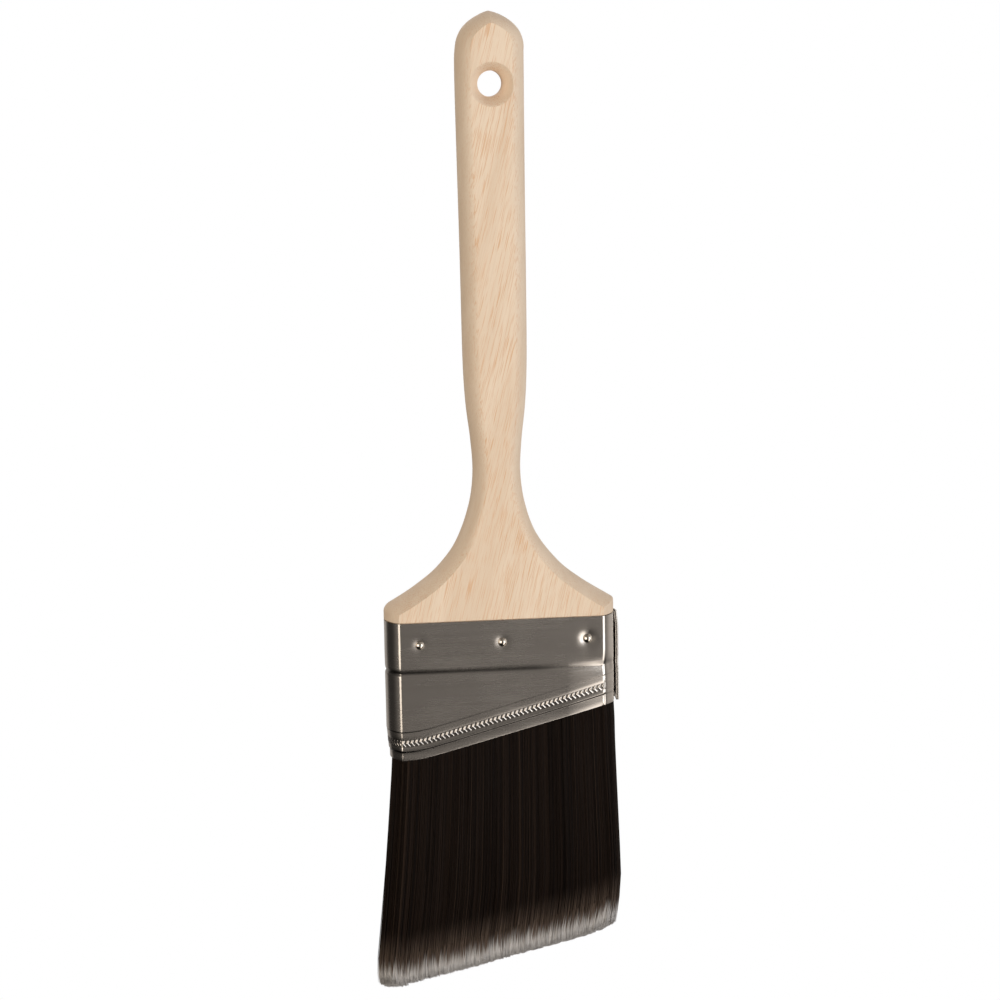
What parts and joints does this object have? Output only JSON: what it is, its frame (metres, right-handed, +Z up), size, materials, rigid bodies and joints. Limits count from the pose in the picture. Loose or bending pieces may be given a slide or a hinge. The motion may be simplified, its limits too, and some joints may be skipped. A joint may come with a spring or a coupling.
{
  "type": "paint brush",
  "caption": "Angled sash paint brush: long bare wooden handle with a hanging hole, slanted steel ferrule with a knurled crimp band, dark filaments cut on the slant.",
  "frame": {"origin": "centre of the hanging hole, midway through the handle's thickness", "axes": "+Z up the handle to its tip, with the filaments pointing down; -Y out of the front face; +X towards the short side of the slanted ferrule"},
  "size_m": [0.0826, 0.021, 0.3228],
  "materials": {
    "handle_wood": "bare sanded",
    "ferrule_steel": "brushed",
    "nail_steel": "polished",
    "plug_wood": "bare sawn",
    "epoxy": "set resin",
    "filament": "satin, whitish split tips"
  },
  "bodies": {
    "root": {"handle": "handle_wood", "ferrule": "ferrule_steel", "nail_front_left": "nail_steel", "nail_front_centre": "nail_steel", "nail_front_right": "nail_steel", "nail_back_left": "nail_steel", "nail_back_centre": "nail_steel", "nail_back_right": "nail_steel", "spacer_plug_front": "plug_wood", "spacer_plug_rear": "plug_wood", "epoxy_setting": "epoxy", "filament_pack_front": "filament", "filament_pack_middle": "filament", "filament_pack_rear": "filament"}
  },
  "joints": []
}
